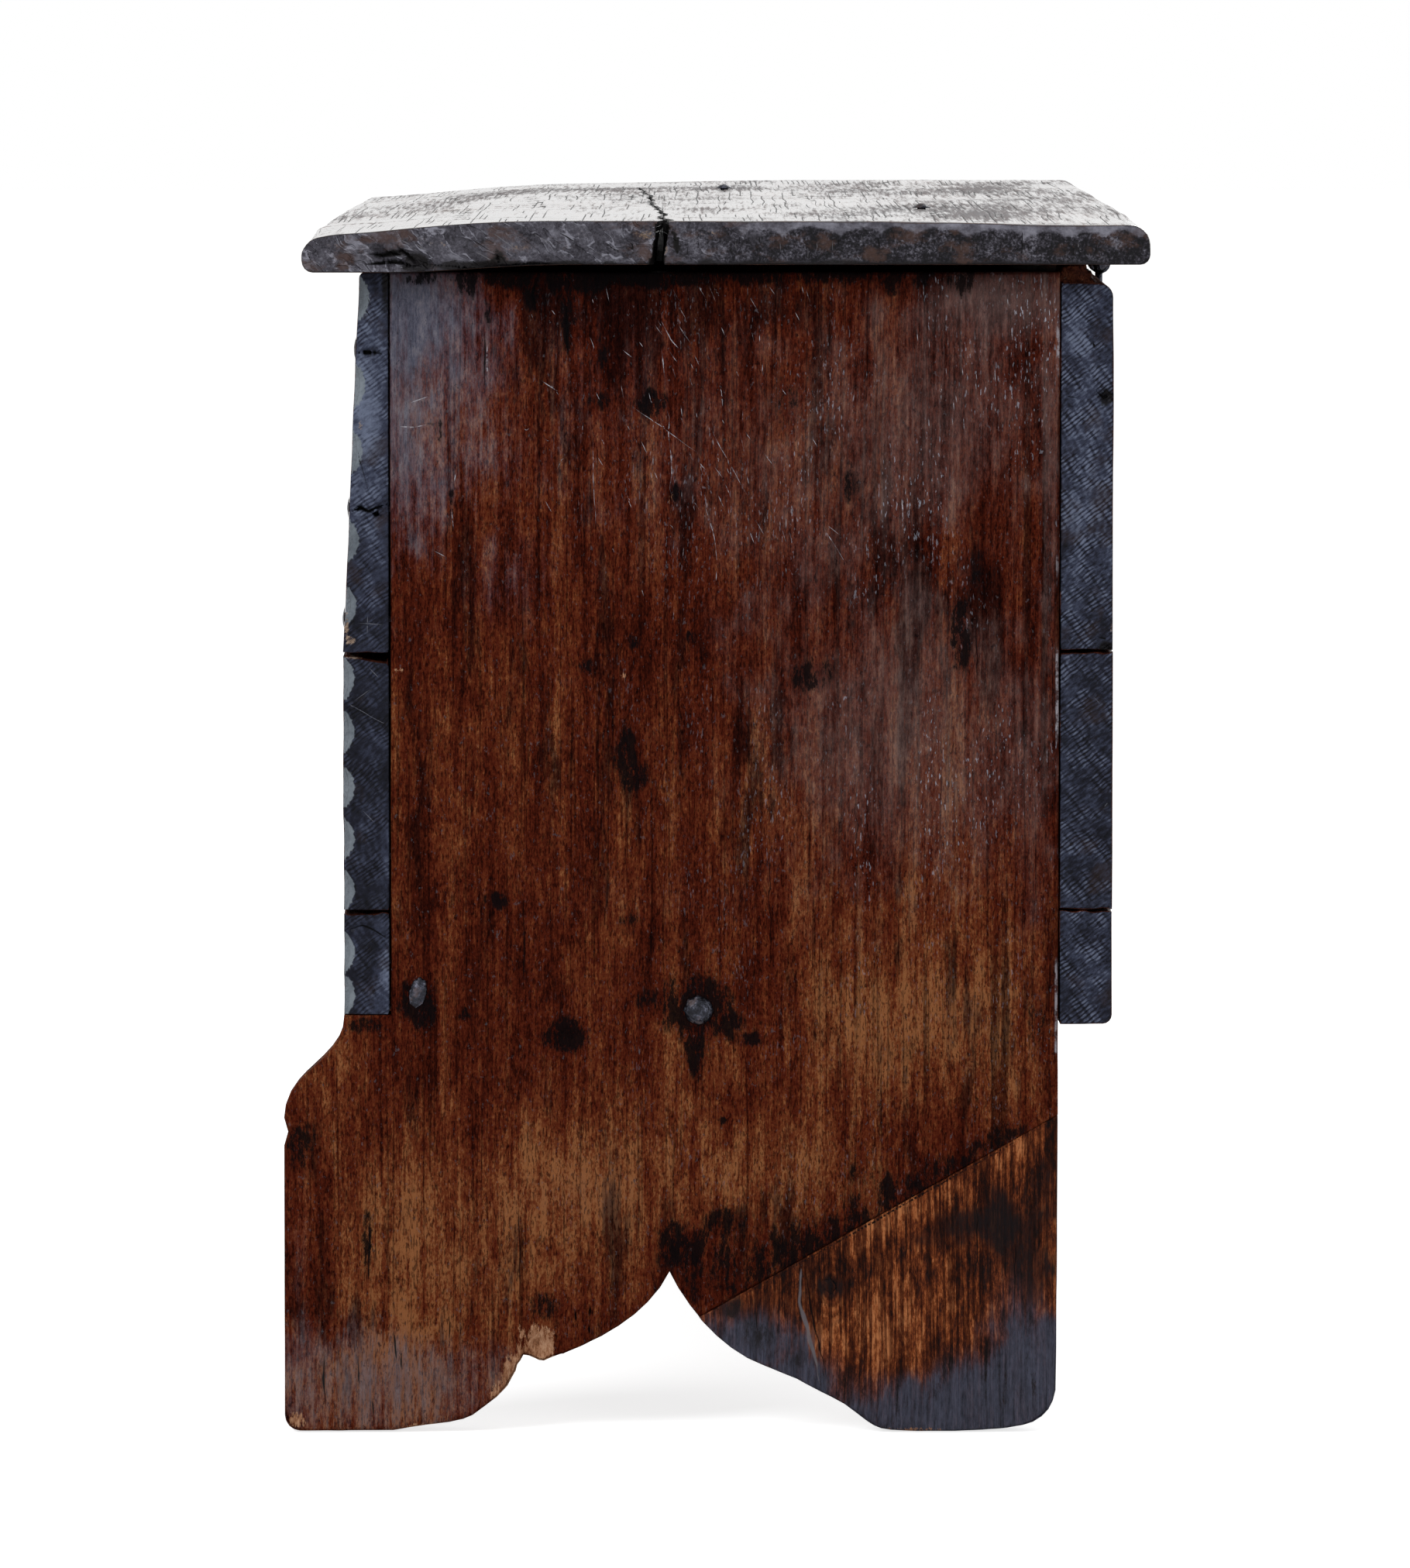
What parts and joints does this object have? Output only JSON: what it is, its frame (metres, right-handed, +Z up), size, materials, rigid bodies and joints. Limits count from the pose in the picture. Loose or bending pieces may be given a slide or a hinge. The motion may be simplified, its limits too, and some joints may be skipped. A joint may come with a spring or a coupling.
{
  "type": "coffer",
  "caption": "Boarded wooden coffer on shaped plank ends with cusped feet, gouge-nicked front edges, forged nails and a strap-hinged lid.",
  "frame": {"origin": "on the floor, at the centre of the overall box's length and depth", "axes": "+X along the coffer's length, towards the end in the picture; +Z up; the front faces -Y"},
  "size_m": [1.04, 0.4302, 0.608],
  "materials": {
    "end_wood": "waxed, worn, red-brown",
    "splice_wood": "waxed, contrasting grain",
    "front_wood": "dark, waxed",
    "back_wood": "dark, dry",
    "bottom_wood": "unfinished, dry",
    "lid_wood": "dark, polished, crackled",
    "hinge_iron": "forged, dark, pitted",
    "nail_iron": "forged, dark, rusty"
  },
  "bodies": {
    "carcase": {"end_board_left": "end_wood", "end_board_right": "end_wood", "foot_splice_right": "splice_wood", "front_plank_lower": "front_wood", "front_plank_middle": "front_wood", "front_plank_upper": "front_wood", "back_plank_lower": "back_wood", "back_plank_middle": "back_wood", "back_plank_upper": "back_wood", "bottom_board": "bottom_wood", "hinge_back_strap_left": "hinge_iron", "hinge_back_strap_right": "hinge_iron", "hinge_pin_left": "hinge_iron", "hinge_pin_right": "hinge_iron", "front_nail_lower_left_1": "nail_iron", "front_nail_lower_right_1": "nail_iron", "front_nail_middle_left_1": "nail_iron", "front_nail_middle_left_2": "nail_iron", "front_nail_middle_right_1": "nail_iron", "front_nail_middle_right_2": "nail_iron", "front_nail_upper_left_1": "nail_iron", "front_nail_upper_left_2": "nail_iron", "front_nail_upper_left_3": "nail_iron", "front_nail_upper_right_1": "nail_iron", "front_nail_upper_right_2": "nail_iron", "front_nail_upper_right_3": "nail_iron", "back_nail_lower_left_1": "nail_iron", "back_nail_lower_right_1": "nail_iron", "back_nail_middle_left_1": "nail_iron", "back_nail_middle_left_2": "nail_iron", "back_nail_middle_right_1": "nail_iron", "back_nail_middle_right_2": "nail_iron", "back_nail_upper_left_1": "nail_iron", "back_nail_upper_left_2": "nail_iron", "back_nail_upper_right_1": "nail_iron", "back_nail_upper_right_2": "nail_iron", "end_nail_left_1": "nail_iron", "end_nail_left_2": "nail_iron", "end_nail_right_1": "nail_iron", "end_nail_right_2": "nail_iron", "back_strap_nail_left_1": "nail_iron", "back_strap_nail_left_2": "nail_iron", "back_strap_nail_right_1": "nail_iron", "back_strap_nail_right_2": "nail_iron"},
    "lid": {"lid": "lid_wood", "hinge_lid_strap_left": "hinge_iron", "hinge_lid_strap_right": "hinge_iron", "lid_strap_nail_left_1": "nail_iron", "lid_strap_nail_left_2": "nail_iron", "lid_strap_nail_right_1": "nail_iron", "lid_strap_nail_right_2": "nail_iron", "lid_through_nail_left": "nail_iron", "lid_through_nail_right": "nail_iron"}
  },
  "joints": [
    {"name": "lid_hinge", "type": "hinge", "parent": "carcase", "child": "lid", "pos_m": [0, 0.1994, 0.5773], "axis": [-1, 0, 0], "range_deg": [0, 108]}
  ]
}
